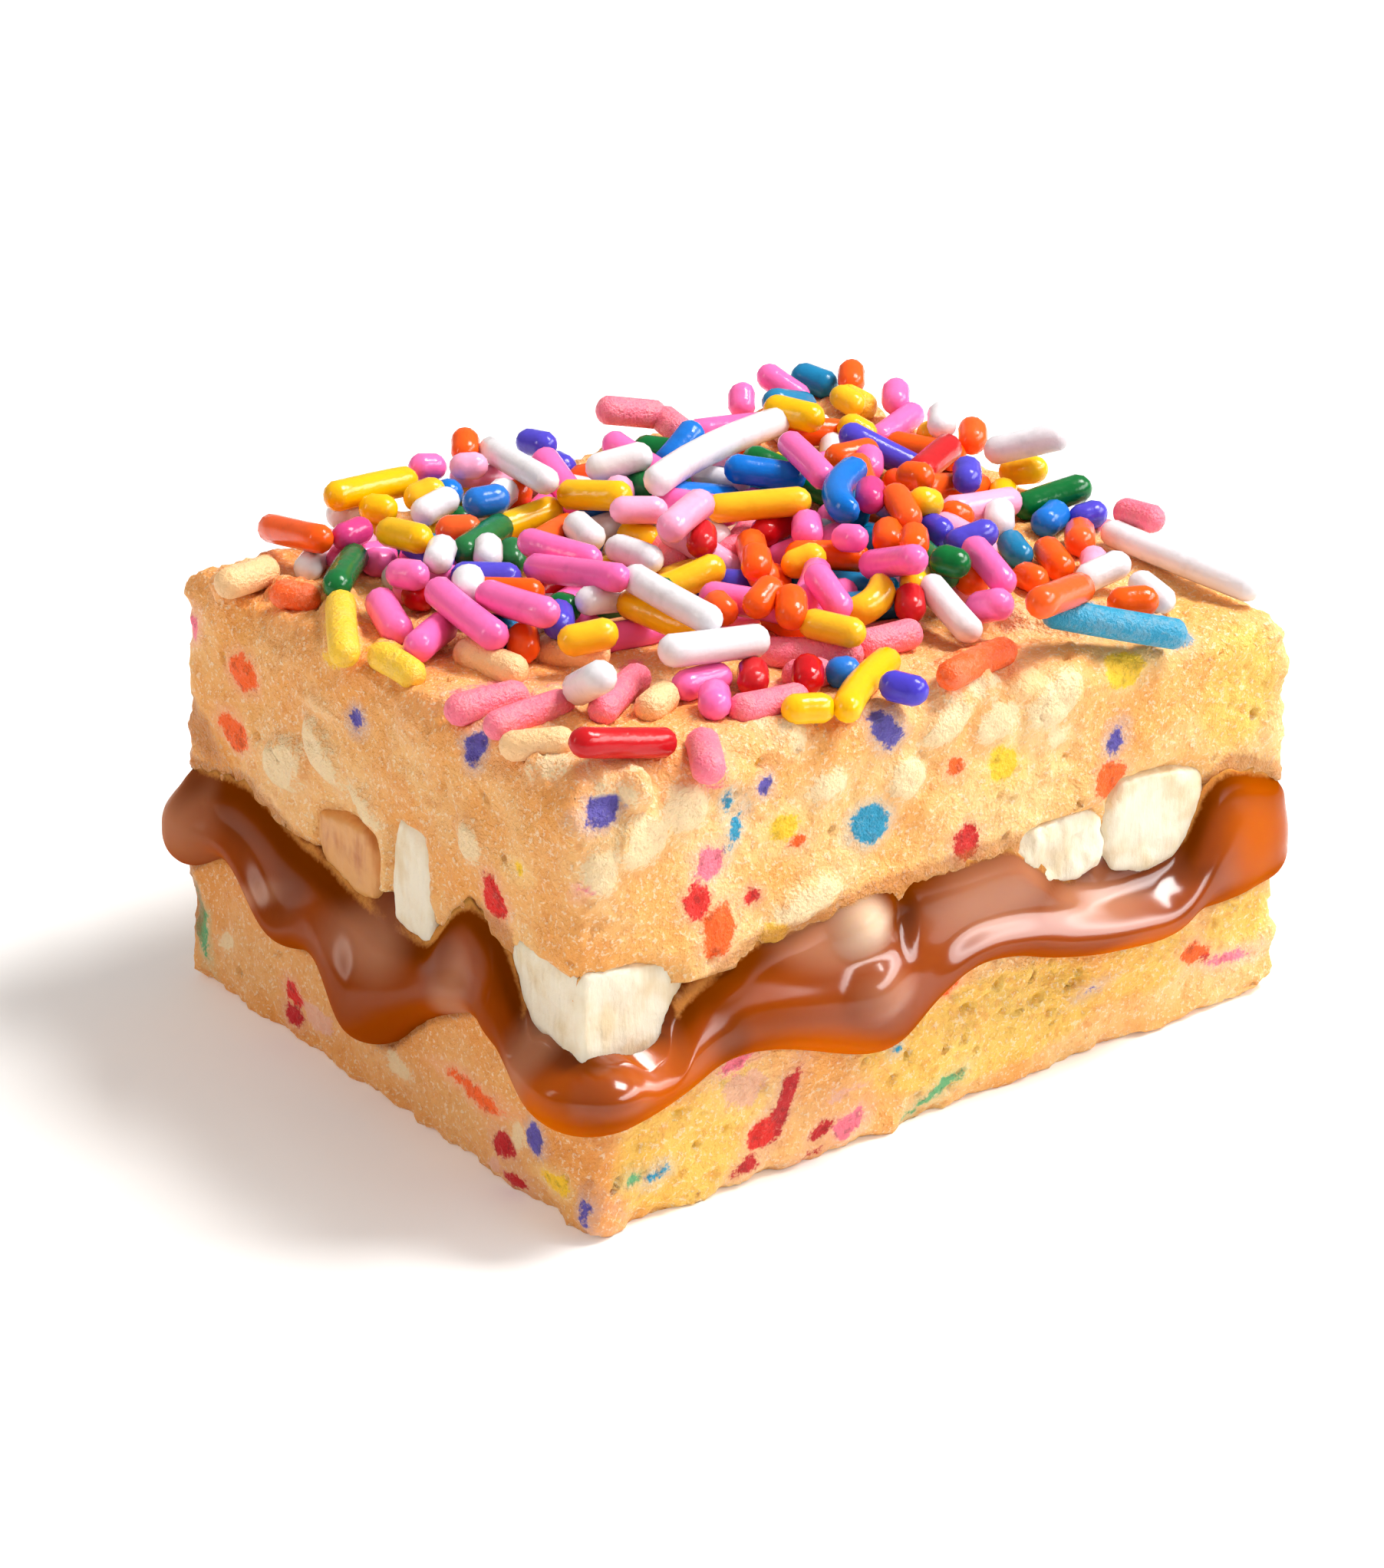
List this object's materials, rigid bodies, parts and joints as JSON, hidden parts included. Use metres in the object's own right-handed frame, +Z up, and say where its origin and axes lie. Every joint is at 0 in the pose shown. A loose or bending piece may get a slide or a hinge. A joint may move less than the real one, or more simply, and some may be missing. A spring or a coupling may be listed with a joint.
{
  "type": "confetti brownie bite",
  "caption": "Small cut square of sprinkle-flecked vanilla blondie with a soft caramel layer running out at the sides, white chocolate chunks and sugar sprinkles on top.",
  "frame": {"origin": "centre of the footprint on the surface that the bite rests on", "axes": "+X along the longer cut side, +Y across towards the back, +Z up through the layers"},
  "size_m": [0.0505, 0.0425, 0.0277],
  "materials": {
    "dough": "matte, crumbly baked dough with baked-in sprinkles",
    "sprinkled_dough": "matte baked dough with glossy sugar sprinkles fused on top",
    "caramel": "glossy translucent soft caramel",
    "white_chocolate": "satin ivory chocolate",
    "sprinkle_sugar": "glossy coloured sugar"
  },
  "bodies": {
    "root": {"lower_dough": "dough", "upper_dough": "sprinkled_dough", "caramel": "caramel", "white_chunk_corner": "white_chocolate", "white_chunk_left": "white_chocolate", "white_chunk_left_coated": "white_chocolate", "white_chunk_front_small": "white_chocolate", "white_chunk_front_flat": "white_chocolate", "white_chunk_front_round": "white_chocolate", "white_chunk_right": "white_chocolate", "white_chunk_back": "white_chocolate"}
  },
  "joints": []
}
